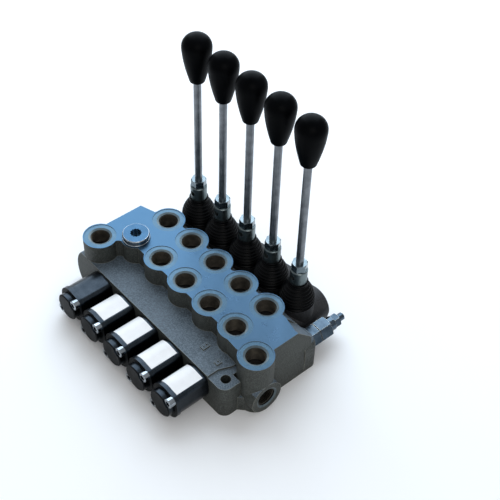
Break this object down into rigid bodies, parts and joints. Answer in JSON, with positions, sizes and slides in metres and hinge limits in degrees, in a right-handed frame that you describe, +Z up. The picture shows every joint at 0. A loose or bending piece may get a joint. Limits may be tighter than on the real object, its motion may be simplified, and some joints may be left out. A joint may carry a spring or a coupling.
{
  "type": "hydraulic directional control valve",
  "caption": "Monoblock hydraulic control valve: a cast block with spring-centred spools, hand levers in rubber bellows, threaded ports and a relief valve.",
  "frame": {"origin": "on the machined underside, below the centre section's axis, midway between the two rows of work ports", "axes": "+Z up out of the port face, +X from the inlet end to the outlet end, +Y from the spring housings to the levers"},
  "size_m": [0.2535, 0.205, 0.2714],
  "materials": {
    "casting": "as-cast sides with machined top face",
    "spool_steel": "ground and hard-chromed",
    "spring_housing": "satin black",
    "lever_housing": "dark phosphated",
    "zinc_steel": "bright zinc plated",
    "rod_steel": "grey plated bar",
    "spring_steel": "oiled spring wire",
    "black_rubber": "satin moulded",
    "seal_rubber": "smooth",
    "knob_plastic": "satin moulded",
    "white_label": "blank adhesive film"
  },
  "bodies": {
    "valve_body": {"monoblock_body": "casting", "inner_spring_seats": "zinc_steel", "spool_seals": "seal_rubber", "lever_pivot_pins": "zinc_steel", "spring_housing_screws": "zinc_steel", "lever_housing_screws": "zinc_steel", "section_labels": "white_label", "port_plug": "zinc_steel", "plug_washer": "zinc_steel", "relief_cartridge": "zinc_steel", "relief_lock_nut": "zinc_steel", "relief_spring": "spring_steel", "spring_housing_1": "spring_housing", "centering_spring_1": "spring_steel", "lever_housing_1": "lever_housing", "bellows_1": "black_rubber", "spring_housing_2": "spring_housing", "centering_spring_2": "spring_steel", "lever_housing_2": "lever_housing", "bellows_2": "black_rubber", "spring_housing_3": "spring_housing", "centering_spring_3": "spring_steel", "lever_housing_3": "lever_housing", "bellows_3": "black_rubber", "spring_housing_4": "spring_housing", "centering_spring_4": "spring_steel", "lever_housing_4": "lever_housing", "bellows_4": "black_rubber", "spring_housing_5": "spring_housing", "centering_spring_5": "spring_steel", "lever_housing_5": "lever_housing", "bellows_5": "black_rubber"},
    "lever_1": {"lever_holder_1": "zinc_steel", "lock_nut_1": "zinc_steel", "lever_rod_1": "rod_steel", "knob_1": "knob_plastic"},
    "spool_bar_1": {"spool_1": "spool_steel"},
    "lever_2": {"lever_holder_2": "zinc_steel", "lock_nut_2": "zinc_steel", "lever_rod_2": "rod_steel", "knob_2": "knob_plastic"},
    "spool_bar_2": {"spool_2": "spool_steel"},
    "lever_3": {"lever_holder_3": "zinc_steel", "lock_nut_3": "zinc_steel", "lever_rod_3": "rod_steel", "knob_3": "knob_plastic"},
    "spool_bar_3": {"spool_3": "spool_steel"},
    "lever_4": {"lever_holder_4": "zinc_steel", "lock_nut_4": "zinc_steel", "lever_rod_4": "rod_steel", "knob_4": "knob_plastic"},
    "spool_bar_4": {"spool_4": "spool_steel"},
    "lever_5": {"lever_holder_5": "zinc_steel", "lock_nut_5": "zinc_steel", "lever_rod_5": "rod_steel", "knob_5": "knob_plastic"},
    "spool_bar_5": {"spool_5": "spool_steel"},
    "poppet": {"relief_poppet": "zinc_steel"},
    "adjuster": {"relief_screw": "zinc_steel"}
  },
  "joints": [
    {"name": "lever_tilt_1", "type": "hinge", "parent": "valve_body", "child": "lever_1", "pos_m": [-0.076, 0.0592, 0.042], "axis": [1, 0, 0], "range_deg": [-18.6, 18.6], "stiffness_Nm_per_rad": 8, "deforming": ["bellows_1"]},
    {"name": "spool_slide_1", "type": "slide", "parent": "valve_body", "child": "spool_bar_1", "axis": [0, 1, 0], "range_m": [-0.0065, 0.0065], "stiffness_N_per_m": 2000, "deforming": ["centering_spring_1"]},
    {"name": "lever_tilt_2", "type": "hinge", "parent": "valve_body", "child": "lever_2", "pos_m": [-0.038, 0.0592, 0.042], "axis": [1, 0, 0], "range_deg": [-18.6, 18.6], "stiffness_Nm_per_rad": 8, "deforming": ["bellows_2"]},
    {"name": "spool_slide_2", "type": "slide", "parent": "valve_body", "child": "spool_bar_2", "axis": [0, 1, 0], "range_m": [-0.0065, 0.0065], "stiffness_N_per_m": 2000, "deforming": ["centering_spring_2"]},
    {"name": "lever_tilt_3", "type": "hinge", "parent": "valve_body", "child": "lever_3", "pos_m": [0, 0.0592, 0.042], "axis": [1, 0, 0], "range_deg": [-18.6, 18.6], "stiffness_Nm_per_rad": 8, "deforming": ["bellows_3"]},
    {"name": "spool_slide_3", "type": "slide", "parent": "valve_body", "child": "spool_bar_3", "axis": [0, 1, 0], "range_m": [-0.0065, 0.0065], "stiffness_N_per_m": 2000, "deforming": ["centering_spring_3"]},
    {"name": "lever_tilt_4", "type": "hinge", "parent": "valve_body", "child": "lever_4", "pos_m": [0.038, 0.0592, 0.042], "axis": [1, 0, 0], "range_deg": [-18.6, 18.6], "stiffness_Nm_per_rad": 8, "deforming": ["bellows_4"]},
    {"name": "spool_slide_4", "type": "slide", "parent": "valve_body", "child": "spool_bar_4", "axis": [0, 1, 0], "range_m": [-0.0065, 0.0065], "stiffness_N_per_m": 2000, "deforming": ["centering_spring_4"]},
    {"name": "lever_tilt_5", "type": "hinge", "parent": "valve_body", "child": "lever_5", "pos_m": [0.076, 0.0592, 0.042], "axis": [1, 0, 0], "range_deg": [-18.6, 18.6], "stiffness_Nm_per_rad": 8, "deforming": ["bellows_5"]},
    {"name": "spool_slide_5", "type": "slide", "parent": "valve_body", "child": "spool_bar_5", "axis": [0, 1, 0], "range_m": [-0.0065, 0.0065], "stiffness_N_per_m": 2000, "deforming": ["centering_spring_5"]},
    {"name": "relief_lift", "type": "slide", "parent": "valve_body", "child": "poppet", "axis": [0, 1, 0], "range_m": [0, 0.0015], "stiffness_N_per_m": 12000, "springref_m": -0.001, "deforming": ["relief_spring"]},
    {"name": "relief_adjust", "type": "hinge", "parent": "valve_body", "child": "adjuster", "pos_m": [0.1065, 0.09, 0.022], "axis": [0, 1, 0], "range_deg": [-180, 180]}
  ],
  "couplings": [
    {"joint": "spool_slide_1", "follows": "lever_tilt_1", "m_per_rad": 0.02},
    {"joint": "spool_slide_2", "follows": "lever_tilt_2", "m_per_rad": 0.02},
    {"joint": "spool_slide_3", "follows": "lever_tilt_3", "m_per_rad": 0.02},
    {"joint": "spool_slide_4", "follows": "lever_tilt_4", "m_per_rad": 0.02},
    {"joint": "spool_slide_5", "follows": "lever_tilt_5", "m_per_rad": 0.02}
  ]
}
